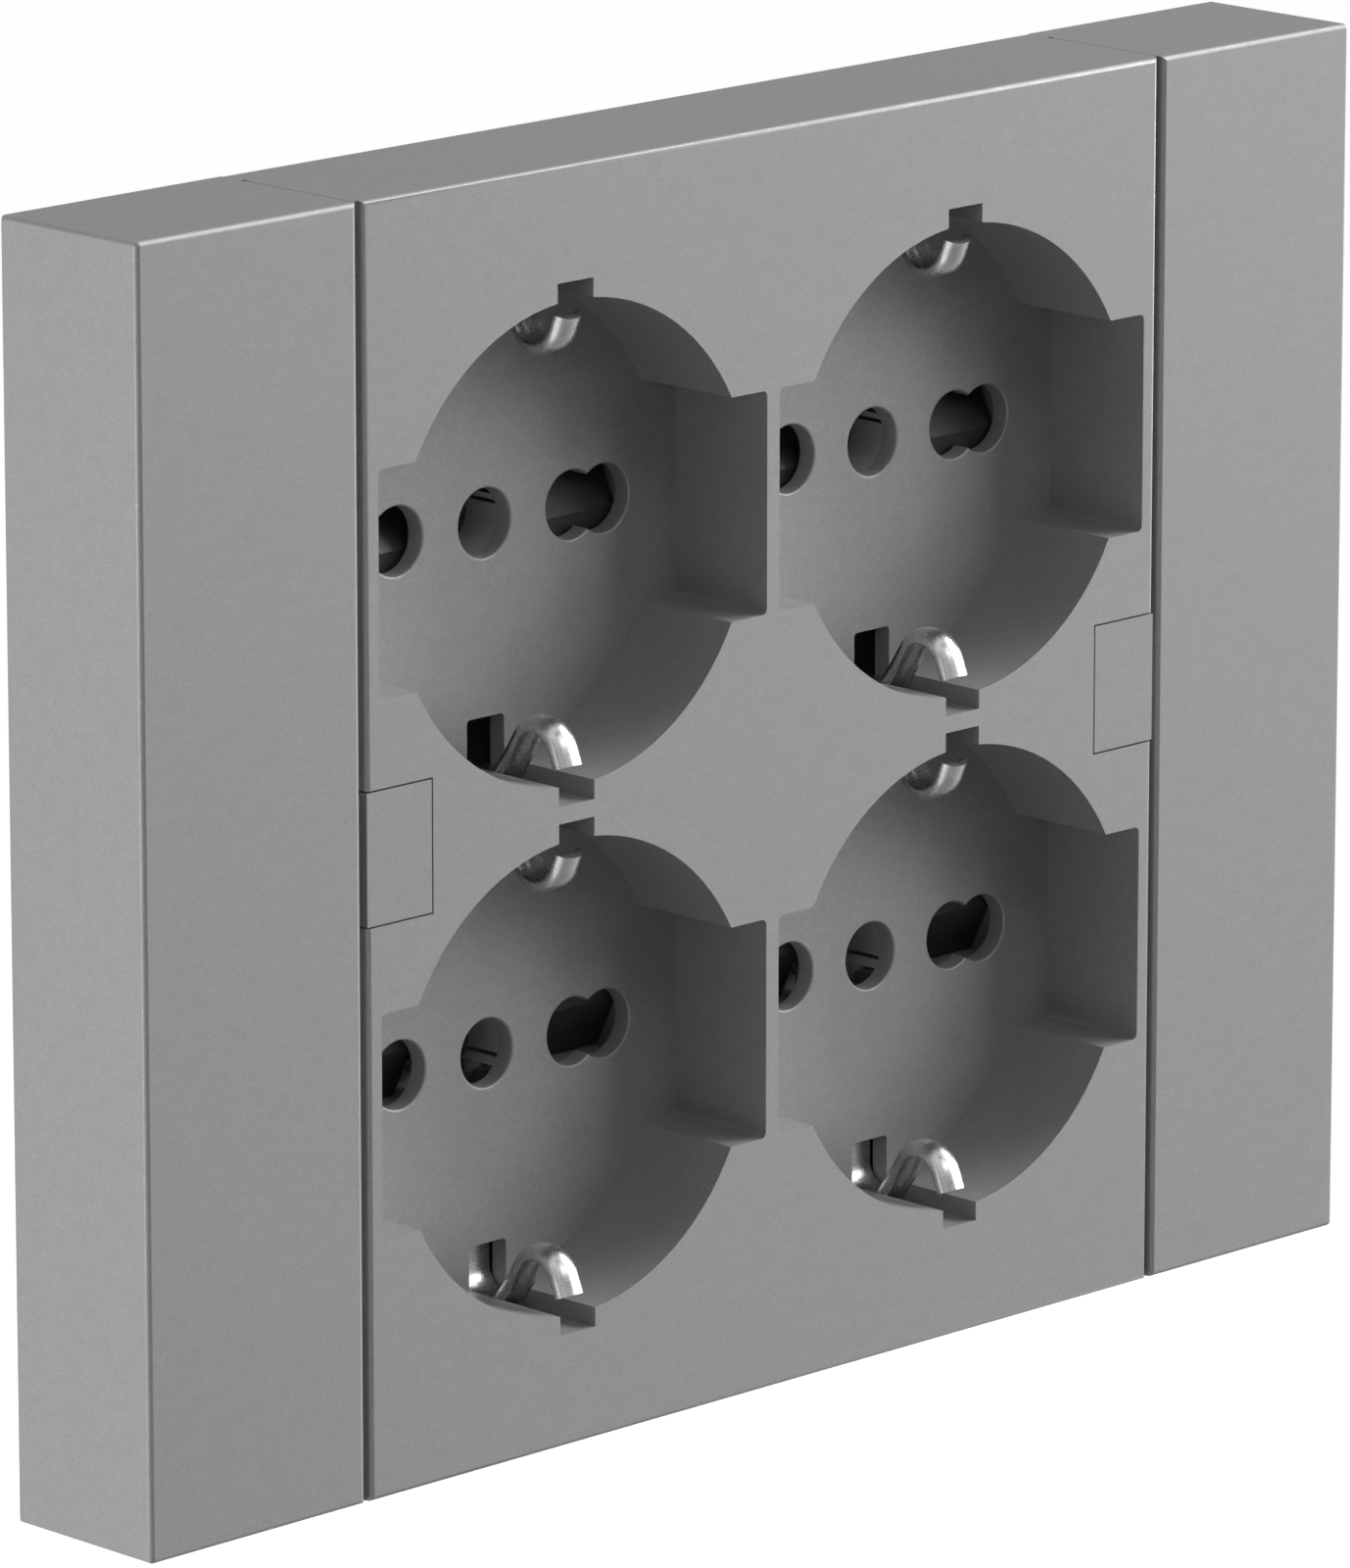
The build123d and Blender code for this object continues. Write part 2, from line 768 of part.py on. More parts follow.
def shutter():
    """One safety shutter: two ramped wings and the bridge that ties them, seen upright."""
    points = [
        (shutter_front, shutter_bottom),
        (shutter_front, ramp_start_z),
        (ramp_end_depth, shutter_top),
        (shutter_back, shutter_top),
        (shutter_back, shutter_bottom),
    ]
    wing = side_profile(make_face(Polyline(*points, close=True)), shutter_inner_x, shutter_outer_x)
    arm = block(
        shutter_inner_x,
        shutter_inner_x + arm_width,
        shutter_front,
        shutter_back,
        bridge_bottom,
        shutter_bottom + fuse,
    )
    half = wing + arm
    bridge = block(
        -shutter_inner_x - fuse,
        shutter_inner_x + fuse,
        bridge_front,
        shutter_back,
        bridge_bottom,
        bridge_top,
    )
    return half + mirror(half, Plane.YZ) + bridge


def shutter_spring():
    """The coil spring that holds one shutter closed, seen upright."""
    top = bridge_bottom - spring_seat_gap - spring_wire_radius
    bottom = spring_room_end + spring_seat_gap + spring_wire_radius
    length = top - bottom
    steps = spring_turns * spring_steps
    points = []
    for step in range(steps + 1):
        angle = math.tau * step / spring_steps
        height = length * step / steps
        points.append((spring_radius * math.cos(angle), spring_radius * math.sin(angle), height))
    path = Polyline(*points)
    section = Plane(origin=path @ 0, z_dir=path % 0) * RegularPolygon(spring_wire_radius, 4)
    coil = sweep(section, path=path, transition=Transition.RIGHT)
    return Pos(0, spring_depth - trim_depth, bottom) * coil


def earth_bracket():
    """The folded strip with an earth clip at each end and an eye for the sleeve."""
    foot_end = near_leg_depth - leg_fold
    clip = [
        (clip_tip_depth, clip_tip_height),
        (clip_crest_depth, clip_crest_height),
        (clip_foot_depth, clip_foot_height),
        (foot_end, clip_foot_height),
    ]
    near_leg = [
        (foot_end - leg_overlap, clip_foot_height),
        (near_leg_depth, clip_foot_height),
        (near_leg_depth, near_leg_inner),
        (bar_depth, near_leg_inner),
    ]
    far_leg = [
        (foot_end - leg_overlap, -clip_foot_height),
        (bar_depth, -clip_foot_height),
        (bar_depth, -eye_hole_radius - fuse),
    ]
    half = strip_width / 2
    near_clip = bent_strip(clip, [crest_bend, foot_bend], strip_thickness, -half, half)
    bracket = near_clip + mirror(near_clip, Plane.XY)
    bracket += folded_strip(near_leg, leg_fold, strip_thickness, -half, half)
    bracket += folded_strip(far_leg, leg_fold, strip_thickness, -half, half)
    front = bar_depth - strip_thickness / 2
    back = bar_depth + strip_thickness / 2
    bracket += hidden_bar(0, 0, eye_radius, front, back)
    bracket -= hidden_hole(0, 0, eye_hole_radius, front, back + through)
    return bracket


def earth_sleeve():
    """The rolled and slit sleeve that grips an earth pin."""
    front = bar_depth + strip_thickness / 2
    sleeve = hidden_bar(0, 0, sleeve_radius + sleeve_wall, front, earth_link_depth)
    start = front - through
    end = earth_link_depth + through
    sleeve -= hidden_hole(0, 0, sleeve_radius, start, end)
    half = sleeve_slit / 2
    sleeve -= block(0, sleeve_radius + sleeve_wall + through, start, end, -half, half)
    return sleeve


def current_contact(link_depth):
    """A springy fork of sheet that grips a pin from above and below, with its rear tab."""
    upper = [
        (contact_front, contact_flare),
        (contact_pinch_depth, contact_half_gap),
        (contact_pinch_depth + contact_throat, contact_half_height),
        (contact_back, contact_half_height),
    ]
    lower = [(depth, -height) for depth, height in reversed(upper)]
    half = contact_length / 2
    contact = bent_strip(upper + lower, None, contact_thickness, -half, half)
    front = contact_back + contact_thickness / 2 - lap
    half = tab_width / 2
    contact += block(-half, half, front, link_depth, -contact_thickness, contact_thickness)
    return contact


def terminal(x, depth):
    """A brass block with a wire hole from behind and a tapped hole from below."""
    front = depth - terminal_length
    half_x = terminal_width / 2
    half_z = terminal_height / 2
    piece = block(x - half_x, x + half_x, front, depth, terminal_z - half_z, terminal_z + half_z)
    end_wall = front + terminal_end_wall
    piece -= hidden_hole(x, terminal_z, wire_hole_radius, end_wall, depth + through)
    middle = (front + depth) / 2
    thread = terminal_screw_radius + screw_clearance
    bottom = terminal_z - half_z - through
    return piece - upright_bar(x, middle, thread, bottom, terminal_z, is_hole=True)


def terminal_screw(x, depth):
    """The clamping screw under a terminal."""
    middle = depth - terminal_length / 2
    bottom = terminal_z - terminal_height / 2
    tip = terminal_z - wire_hole_radius
    head_top = bottom - screw_clearance
    head_bottom = head_top - terminal_screw_head_height
    screw = upright_bar(x, middle, terminal_screw_radius, head_top - fuse, tip)
    screw += upright_bar(x, middle, terminal_screw_head_radius, head_bottom, head_top)
    half = drive_slot_width / 2
    reach = terminal_screw_head_radius + through
    slot_top = head_bottom + drive_slot_depth
    slot_bottom = head_bottom - through
    screw -= block(x - reach, x + reach, middle - half, middle + half, slot_bottom, slot_top)
    return screw


def base_screw(x, z):
    """A self-tapping screw from behind, through the base's cup into the cover's post."""
    seat = edge_post_depth + guide_front_gap + edge_cup_floor
    screw = hidden_bar(x, z, screw_radius, seat - screw_length, seat + fuse)
    screw += hidden_bar(x, z, screw_head_radius, seat, seat + screw_head_height)
    half = drive_slot_width / 2
    reach = drive_slot_reach
    deep = seat + screw_head_height - drive_slot_depth
    screw -= block(x - reach, x + reach, deep, cover_depth, z - half, z + half)
    screw -= block(x - half, x + half, deep, cover_depth, z - reach, z + reach)
    return screw


def all_parts():
    """Every piece by name."""
    parts = {"front_cover": front_cover(), "right_trim": right_trim(), "right_key": right_key()}
    parts["left_trim"] = mirror(parts["right_trim"], Plane.YZ)
    parts["left_key"] = mirror(parts["right_key"], Plane.YZ)
    parts["base_housing"] = base_housing()
    parts["contact_plate"] = contact_plate()
    inserts = {
        "shutter_guide": shutter_guide(),
        "shutter": shutter(),
        "shutter_spring": shutter_spring(),
        "earth_bracket": earth_bracket(),
        "earth_sleeve": earth_sleeve(),
    }
    line_contact = current_contact(line_link_depth)
    neutral_contact = current_contact(neutral_link_depth)
    for number, x, z, turn in sockets:
        for name, piece in inserts.items():
            parts[f"{name}_{number}"] = Pos(x, 0, z) * Rot(0, turn, 0) * piece
        parts[f"line_contact_{number}"] = Pos(x - contact_place, 0, z) * line_contact
        parts[f"neutral_contact_{number}"] = Pos(x + contact_place, 0, z) * neutral_contact
    parts["line_bar"] = current_bar("line")
    parts["neutral_bar"] = current_bar("neutral")
    parts["earth_bar"] = earth_bar()
    for name, x, depth in terminal_places():
        parts[f"{name}_terminal"] = terminal(x, depth)
        parts[f"{name}_terminal_screw"] = terminal_screw(x, depth)
    corners = [(x, z) for z in (edge_post_z, -edge_post_z) for x in (-edge_post_x, edge_post_x)]
    for number, (x, z) in enumerate(corners, start=1):
        parts[f"base_screw_{number}"] = base_screw(x, z)
    return parts


os.makedirs("parts", exist_ok=True)
for part_name, part in all_parts().items():
    export_step(part, f"parts/{part_name}.step")
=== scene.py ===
import math

import bmesh
import bpy
import numpy as np
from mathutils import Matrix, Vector


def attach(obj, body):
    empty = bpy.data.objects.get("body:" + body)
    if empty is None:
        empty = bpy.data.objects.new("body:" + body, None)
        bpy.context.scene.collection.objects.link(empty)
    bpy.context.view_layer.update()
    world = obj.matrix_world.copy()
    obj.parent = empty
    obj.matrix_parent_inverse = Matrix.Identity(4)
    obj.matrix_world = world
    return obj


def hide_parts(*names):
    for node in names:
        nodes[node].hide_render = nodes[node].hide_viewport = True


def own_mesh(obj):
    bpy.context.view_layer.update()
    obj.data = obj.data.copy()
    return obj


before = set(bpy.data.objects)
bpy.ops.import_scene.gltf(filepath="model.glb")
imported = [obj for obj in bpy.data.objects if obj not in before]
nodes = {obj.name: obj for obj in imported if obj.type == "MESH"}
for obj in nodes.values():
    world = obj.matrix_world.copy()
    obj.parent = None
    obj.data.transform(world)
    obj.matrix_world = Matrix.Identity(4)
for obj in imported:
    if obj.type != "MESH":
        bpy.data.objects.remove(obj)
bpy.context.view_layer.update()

mm = 0.001


# ---------------------------------------------------------------- Satin paint
# The cover, its two side trims and the blanking keys are moulded plastic under a satin
# aluminium-grey paint: a very fine spray grain, a faint sparkle and hardly any gloss.
# The grain is one node group, so that all the painted pieces carry the same finish.
def add_sockets(tree, in_out, kind, labels, values=None):
    for label in labels:
        made = tree.interface.new_socket(name=label, in_out=in_out, socket_type=kind)
        if values:
            made.default_value = values[label]


def shader_group(name, inputs, outputs):
    """A new node group of number sockets: the tree, what it is given and what it puts out."""
    tree = bpy.data.node_groups.new(name, "ShaderNodeTree")
    add_sockets(tree, "INPUT", "NodeSocketFloat", inputs, inputs)
    add_sockets(tree, "OUTPUT", "NodeSocketFloat", outputs)
    given = tree.nodes.new("NodeGroupInput").outputs
    return tree, given, tree.nodes.new("NodeGroupOutput").inputs


def add_noise(tree, coordinates, scale, detail, roughness=0.5, stretch=None):
    if stretch:
        mapping = tree.nodes.new("ShaderNodeMapping")
        mapping.inputs["Scale"].default_value = stretch
        tree.links.new(coordinates, mapping.inputs["Vector"])
        coordinates = mapping.outputs["Vector"]
    noise = tree.nodes.new("ShaderNodeTexNoise")
    noise.inputs["Detail"].default_value = detail
    noise.inputs["Roughness"].default_value = roughness
    if isinstance(scale, (int, float)):
        noise.inputs["Scale"].default_value = scale
    else:
        tree.links.new(scale, noise.inputs["Scale"])
    tree.links.new(coordinates, noise.inputs["Vector"])
    return noise.outputs["Fac"]


def add_range(tree, source, low, high, to_low=0.0, to_high=1.0, smooth=False):
    node = tree.nodes.new("ShaderNodeMapRange")
    node.interpolation_type = "SMOOTHSTEP" if smooth else "LINEAR"
    for index, value in ((1, low), (2, high), (3, to_low), (4, to_high)):
        node.inputs[index].default_value = value
    tree.links.new(source, node.inputs[0])
    return node.outputs[0]


def add_math(tree, operation, first, second=0.0):
    node = tree.nodes.new("ShaderNodeMath")
    node.operation = operation
    for index, value in enumerate((first, second)):
        if isinstance(value, (int, float)):
            node.inputs[index].default_value = value
        else:
            tree.links.new(value, node.inputs[index])
    return node.outputs[0]


def add_mix(tree, factor, first, second):
    node = tree.nodes.new("ShaderNodeMix")
    node.data_type = "RGBA"
    tree.links.new(factor, node.inputs[0])
    for index, value in ((6, first), (7, second)):
        if isinstance(value, tuple):
            node.inputs[index].default_value = (*value, 1.0)
        else:
            tree.links.new(value, node.inputs[index])
    return node.outputs[2]


def start_material(name, group):
    """A new material with the group placed in it: the material, its tree, shader and group."""
    material = bpy.data.materials.new(name)
    material.use_nodes = True
    tree = material.node_tree
    finish = tree.nodes.new("ShaderNodeGroup")
    finish.node_tree = group
    return material, tree, tree.nodes["Principled BSDF"], finish


def add_bump(tree, shader, height, distance, strength):
    bump = tree.nodes.new("ShaderNodeBump")
    bump.inputs["Strength"].default_value = strength
    bump.inputs["Distance"].default_value = distance
    tree.links.new(height, bump.inputs["Height"])
    tree.links.new(bump.outputs["Normal"], shader.inputs["Normal"])


noise_low, noise_high = 0.3, 0.7
fine_share, cloud_share = 0.72, 0.28
peel_share = 1.6
grain_bump = 0.01 * mm

spray_grain, given, wanted = shader_group("spray_grain", {}, ["Tone", "Sparkle", "Height"])
place = spray_grain.nodes.new("ShaderNodeTexCoord").outputs["Object"]
fine = add_noise(spray_grain, place, 4200, 2.0, 0.6)
cloud = add_noise(spray_grain, place, 600, 3.0, 0.6, (0.6, 1.0, 1.3))
orange_peel = add_noise(spray_grain, place, 900, 1.0)
tone = add_math(
    spray_grain, "ADD",
    add_math(
        spray_grain, "MULTIPLY", add_range(spray_grain, fine, noise_low, noise_high), fine_share
    ),
    add_math(
        spray_grain, "MULTIPLY", add_range(spray_grain, cloud, noise_low, noise_high), cloud_share
    ),
)
flakes = spray_grain.nodes.new("ShaderNodeTexVoronoi")
flakes.inputs["Scale"].default_value = 3600
spray_grain.links.new(place, flakes.inputs["Vector"])
flake = add_range(spray_grain, flakes.outputs["Distance"], 0.12, 0.22, 1.0, 0.0)
flake_pick = add_range(spray_grain, add_noise(spray_grain, place, 2300, 0.0), 0.58, 0.66)
sparkle = add_math(spray_grain, "MULTIPLY", flake, flake_pick)
peel = add_math(spray_grain, "MULTIPLY", orange_peel, peel_share)
spray_grain.links.new(tone, wanted["Tone"])
spray_grain.links.new(sparkle, wanted["Sparkle"])
spray_grain.links.new(add_math(spray_grain, "ADD", fine, peel), wanted["Height"])

satin_paint, tree, shader, finish = start_material("satin_paint", spray_grain)
tone, sparkle = finish.outputs["Tone"], finish.outputs["Sparkle"]
colour = add_mix(tree, tone, (0.304, 0.299, 0.301), (0.370, 0.364, 0.367))
colour = add_mix(tree, add_math(tree, "MULTIPLY", sparkle, 0.3), colour, (0.52, 0.51, 0.52))
tree.links.new(colour, shader.inputs["Base Color"])
tree.links.new(add_range(tree, tone, 0.0, 1.0, 0.46, 0.36), shader.inputs["Roughness"])
tree.links.new(add_range(tree, sparkle, 0.0, 1.0, 0.12, 0.6), shader.inputs["Metallic"])
add_bump(tree, shader, finish.outputs["Height"], grain_bump, 0.55)


# ---------------------------------------------------------------- Moulded plastic
# The unpainted mouldings have a light spark-eroded grain, and so do the collars behind the cover's
# floors, whose lighter grey is painted light. One group gives it, and each piece has its own
# colour.
moulded_grain, given, wanted = shader_group("moulded_grain", {"Scale": 1500.0}, ["Tone", "Height"])
place = moulded_grain.nodes.new("ShaderNodeTexCoord").outputs["Object"]
grain = add_noise(moulded_grain, place, given["Scale"], 3.0)
flow = add_noise(moulded_grain, place, 70, 3.0, 0.5, (1.0, 1.0, 0.35))
halves = [
    add_math(moulded_grain, "MULTIPLY", add_range(moulded_grain, part, noise_low, noise_high), 0.5)
    for part in (grain, flow)
]
moulded_grain.links.new(add_math(moulded_grain, "ADD", *halves), wanted["Tone"])
moulded_grain.links.new(grain, wanted["Height"])


def moulded(name, dark, light, rough, scale):
    material, tree, shader, finish = start_material(name, moulded_grain)
    finish.inputs["Scale"].default_value = scale
    tone = finish.outputs["Tone"]
    tree.links.new(add_mix(tree, tone, dark, light), shader.inputs["Base Color"])
    rough = add_range(tree, tone, 0.0, 1.0, rough + 0.06, rough - 0.06)
    tree.links.new(rough, shader.inputs["Roughness"])
    add_bump(tree, shader, finish.outputs["Height"], grain_bump, 0.5)
    return material


# A lighter grey for the collar walls behind the cover's floors: painted light, standing in for the
# light that reaches into the bores.
collar_painted_light = moulded("collar_painted_light", (0.40, 0.40, 0.40), (0.46, 0.46, 0.46), 0.45, 1700)


# ---------------------------------------------------------------- Front cover
# One moulding: the front plate with four sunk sockets, their slots, pin holes and windows.
# The tool leaves a tiny round on the rim of each pin hole, which catches the light.
rim_round = 0.17 * mm
hole_radius = 2.8 * mm
recess_floor = -4.9 * mm
floor_back = -3.3 * mm
collar_step = 0.1 * mm
step_length = 0.05 * mm
hole_tolerance = 0.03 * mm
floor_tolerance = 0.01 * mm
merge_distance = 1e-7
same_normal = 0.9995
socket_places = {1: (-1, 1), 2: (1, 1), 3: (-1, -1), 4: (1, -1)}
pitch_x = 43.43 * mm
pitch_z = 43.0 * mm
hole_spacings = (0.0, 9.5 * mm, -9.5 * mm, 13.0 * mm, -13.0 * mm)


def socket_middle(n):
    side, level = socket_places[n]
    return side * pitch_x / 2, level * pitch_z / 2


def on_circle(vertex, x, z):
    """Whether a corner lies on the circle of a pin hole with its middle at x and z."""
    reach = math.hypot(vertex.co.x - x, vertex.co.z - z)
    return abs(reach - hole_radius) < hole_tolerance


def curved_faces(mesh):
    """The faces whose corners carry normals that differ from the face's own."""
    curved = set()
    normals = mesh.corner_normals
    for face in mesh.polygons:
        corners = [normals[index].vector for index in face.loop_indices]
        if any(face.normal.dot(corner) < same_normal for corner in corners):
            curved.add(face.index)
    return curved


def hole_rim_edges(mesh):
    """The edges round the pin holes, on the recess floors."""
    sockets = [socket_middle(n) for n in socket_places]
    holes = [(x + spacing, z) for x, z in sockets for spacing in hole_spacings]
    found = []
    for edge in mesh.edges:
        if any(abs(vertex.co.y - recess_floor) > floor_tolerance for vertex in edge.verts):
            continue
        if any(all(on_circle(vertex, x, z) for vertex in edge.verts) for x, z in holes):
            found.append(edge)
    return found


def step_collars(mesh):
    """The bore of each collar is a touch wider than the pin hole in front of it."""
    for n in socket_places:
        x, z = socket_middle(n)
        for depth in (floor_back, floor_back + step_length):
            bore = [
                face for face in mesh.faces
                if all(on_circle(vertex, x, z) for vertex in face.verts)
            ]
            around = {edge for face in bore for edge in face.edges}
            corners = {vertex for face in bore for vertex in face.verts}
            bmesh.ops.bisect_plane(
                mesh, geom=bore + list(around) + list(corners),
                plane_co=(0, depth, 0), plane_no=(0, 1, 0), dist=1e-6,
            )
        grow = (hole_radius + collar_step) / hole_radius
        for vertex in mesh.verts:
            if vertex.co.y > floor_back + step_length / 2 and on_circle(vertex, x, z):
                vertex.co.x = x + (vertex.co.x - x) * grow
                vertex.co.z = z + (vertex.co.z - z) * grow
        # The collar faces behind the floor get the lighter grey, which is painted light.
        for face in mesh.faces:
            middle = face.calc_center_median()
            reach = math.hypot(middle.x - x, middle.z - z)
            if middle.y > floor_back and reach < hole_radius + 2 * collar_step:
                face.material_index = 1


def mark_edges(mesh, degrees):
    """Keeps an edge sharp where its two faces turn by more than the angle."""
    for edge in mesh.edges:
        turn = edge.calc_face_angle(0.0)
        edge.smooth = len(edge.link_faces) == 2 and turn < math.radians(degrees)


source = nodes["front_cover"]
curved = curved_faces(source.data)
mesh = bmesh.new()
mesh.from_mesh(source.data)
mesh.faces.ensure_lookup_table()
for face in mesh.faces:
    face.smooth = face.index in curved
bmesh.ops.remove_doubles(mesh, verts=mesh.verts, dist=merge_distance)
step_collars(mesh)
rounded = bmesh.ops.bevel(
    mesh, geom=hole_rim_edges(mesh), offset=rim_round, segments=3, profile=0.5, affect="EDGES"
)
for face in rounded["faces"]:
    face.smooth = True
mark_edges(mesh, 32)
data = bpy.data.meshes.new("cover_moulding")
mesh.to_mesh(data)
mesh.free()
data.materials.append(satin_paint)
# The second slot is the collars' lighter grey, which is painted light.
data.materials.append(collar_painted_light)
cover = bpy.data.objects.new("cover_moulding", data)
bpy.context.scene.collection.objects.link(cover)
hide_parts("front_cover")
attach(cover, "root")


# ---------------------------------------------------------------- Side trims and keys
# Two painted U-shaped trims snap over the cover's ends, and a small painted key on each side
# closes the way to a fixing hole. They are moulded like the cover and carry the same paint.
def dress(names, material):
    for name in names:
        data = nodes[name].data
        data.materials.clear()
        data.materials.append(material)


dress(("left_trim", "right_trim", "left_key", "right_key"), satin_paint)


# ---------------------------------------------------------------- Base and contact plate
# The dark base drops into the wall box and carries the brass parts; the contact plate holds
# them down. Both are plain mouldings.
dress(
    ("base_housing", "contact_plate"),
    moulded("base_plastic", (0.135, 0.135, 0.140), (0.180, 0.180, 0.185), 0.55, 1500),
)


# ---------------------------------------------------------------- Shutters and their guides
# Behind each pair of current holes a black shutter slides in a grey guide; the holes show
# the shutter's level edge and the guide's wall beside it.
dress(
    [f"shutter_guide_{n}" for n in socket_places],
    moulded("guide_plastic", (0.20, 0.20, 0.20), (0.26, 0.26, 0.255), 0.48, 1900),
)
dress(
    [f"shutter_{n}" for n in socket_places],
    moulded("shutter_plastic", (0.020, 0.020, 0.021), (0.030, 0.030, 0.031), 0.42, 2100),
)


# ---------------------------------------------------------------- Worn metal
# The metal parts share one finish: fine drawing streaks across the strip, small dark
# specks left by handling and a slow patchy dulling.
worn_metal, given, wanted = shader_group(
    "worn_metal", {"Speck level": 0.62}, ["Streak", "Speck", "Patch", "Height"]
)
place = worn_metal.nodes.new("ShaderNodeTexCoord").outputs["Object"]
streak = add_noise(worn_metal, place, 700, 5.0, 0.66, (0.7, 12.0, 12.0))
specks = add_noise(worn_metal, place, 2600, 3.0, 0.6)
speck = add_math(worn_metal, "GREATER_THAN", specks, given["Speck level"])
dulling = add_noise(worn_metal, place, 520, 4.0, 0.6)
worn_metal.links.new(add_range(worn_metal, streak, noise_low, noise_high), wanted["Streak"])
worn_metal.links.new(speck, wanted["Speck"])
worn_metal.links.new(add_range(worn_metal, dulling, 0.35, 0.65, smooth=True), wanted["Patch"])
worn_metal.links.new(streak, wanted["Height"])


def metal(name, dull, bright, rough_low, rough_high, bump, speck_level):
    material, tree, shader, finish = start_material(name, worn_metal)
    finish.inputs["Speck level"].default_value = speck_level
    shader.inputs["Metallic"].default_value = 1.0
    colour = add_mix(tree, finish.outputs["Patch"], dull, bright)
    darker = tuple(value * 0.35 for value in dull)
    speck = add_math(tree, "MULTIPLY", finish.outputs["Speck"], 0.4)
    tree.links.new(add_mix(tree, speck, colour, darker), shader.inputs["Base Color"])
    rough = add_range(tree, finish.outputs["Streak"], 0.0, 1.0, rough_low, rough_high)
    tree.links.new(rough, shader.inputs["Roughness"])
    add_bump(tree, shader, finish.outputs["Height"], bump, 0.6)
    return material


nickel, brass, zinc_steel, spring_steel = (
    metal(*values) for values in (
        ("nickel_strip", (0.47, 0.47, 0.465), (0.58, 0.58, 0.57), 0.22, 0.36, 5e-6, 0.74),
        ("brass", (0.62, 0.44, 0.18), (0.78, 0.58, 0.26), 0.24, 0.42, 1e-5, 0.70),
        ("zinc_steel", (0.46, 0.47, 0.48), (0.66, 0.67, 0.68), 0.26, 0.44, 1e-5, 0.68),
        ("spring_steel", (0.36, 0.36, 0.37), (0.56, 0.56, 0.57), 0.22, 0.36, 1e-5, 0.70),
    )
)


# ---------------------------------------------------------------- Earth brackets
# One folded nickel-plated strip to each socket. Its two ends are curled to a gutter and bent
# to round sprung clips at the top and the bottom of the recess; behind the pin holes the
# strip meets in a flat round eye.
strip_gauge = 0.5 * mm
strip_lift = 0.1 * mm
cover_face = 15.2 * mm
eye_outer = 4.6 * mm
eye_hole = 3.0 * mm
eye_gauge = 0.7 * mm
bar_depth = 19.5 * mm
# Along the strip, in mm from the cover's face and from the socket's middle: the corners of
# the clip and of the two legs behind it, each with the radius of its bend.
path_step = 0.45
bend_steps = 16
clip_points = [(0.4, 17.9), (3.05, 11.34), (8.9, 20.25)]
near_points = clip_points + [(12.35, 20.25), (12.35, 3.8), (19.3, 3.8)]
near_bends = [2.9, 1.0, 2.2, 0.8]
far_points = clip_points + [(19.5, 20.25), (19.5, 4.55)]
far_bends = [2.9, 1.3, 0.8]
# The crown and the half width of the gutter, in mm, at some depths.
crown_shape = [
    (0.0, 0.95), (5.0, 0.95), (7.2, 1.30), (8.3, 1.10), (9.6, 0.30), (10.4, 0.0), (20.0, 0.0)
]
width_shape = [(0.0, 1.2), (7.6, 1.2), (10.0, 1.85), (20.0, 1.85)]


def rounded_path(points, radii):
    """A side path as depth and height pairs, with an arc of each radius at its inner corners."""
    path = [Vector(points[0])]
    for before, corner, after, radius in zip(points, points[1:], points[2:], radii):
        before, corner, after = Vector(before), Vector(corner), Vector(after)
        back = (before - corner).normalized()
        ahead = (after - corner).normalized()
        turn = back.angle(ahead)
        reach = radius / math.tan(turn / 2)
        middle = corner + (back + ahead).normalized() * (radius / math.sin(turn / 2))
        start = corner + back * reach - middle
        end = corner + ahead * reach - middle
        sweep = start.angle(end)
        for step in range(bend_steps + 1):
            share = step / bend_steps
            arm = start * math.sin((1 - share) * sweep) + end * math.sin(share * sweep)
            path.append(middle + arm / math.sin(sweep))
    path.append(Vector(points[-1]))
    filled = [path[0]]
    for first, last in zip(path, path[1:]):
        pieces = max(1, round((last - first).length / path_step))
        filled += [first.lerp(last, piece / pieces) for piece in range(1, pieces + 1)]
    return filled


def growing_tree(name, sizes, takes_path):
    """A Geometry Nodes tree with named sizes and a material: the tree and what it is given."""
    tree = bpy.data.node_groups.new(name, "GeometryNodeTree")
    if takes_path:
        add_sockets(tree, "INPUT", "NodeSocketGeometry", ["Path"])
    add_sockets(tree, "INPUT", "NodeSocketFloat", sizes, sizes)
    add_sockets(tree, "INPUT", "NodeSocketMaterial", ["Finish"])
    add_sockets(tree, "OUTPUT", "NodeSocketGeometry", ["Piece"])
    return tree, tree.nodes.new("NodeGroupInput").outputs


def end_tree(tree, geometry, material):
    """Realize Instances and Set Material, which end each tree."""
    whole = tree.nodes.new("GeometryNodeRealizeInstances")
    tree.links.new(geometry, whole.inputs["Geometry"])
    finish = tree.nodes.new("GeometryNodeSetMaterial")
    tree.links.new(whole.outputs["Geometry"], finish.inputs["Geometry"])
    tree.links.new(material, finish.inputs["Material"])
    tree.links.new(finish.outputs["Geometry"], tree.nodes.new("NodeGroupOutput").inputs[0])
    return tree


def add_vector(tree, operation, first, second):
    node = tree.nodes.new("ShaderNodeVectorMath")
    node.operation = operation
    tree.links.new(first, node.inputs[0])
    target = node.inputs["Scale"] if operation == "SCALE" else node.inputs[1]
    if isinstance(second, tuple):
        target.default_value = second
    else:
        tree.links.new(second, target)
    return node.outputs[0]


def add_xyz(tree, axis, value):
    node = tree.nodes.new("ShaderNodeCombineXYZ")
    tree.links.new(value, node.inputs[axis])
    return node.outputs[0]


def read_trait(tree, name, kind="FLOAT"):
    node = tree.nodes.new("GeometryNodeInputNamedAttribute")
    node.data_type = kind
    node.inputs["Name"].default_value = name
    return node.outputs["Attribute"]


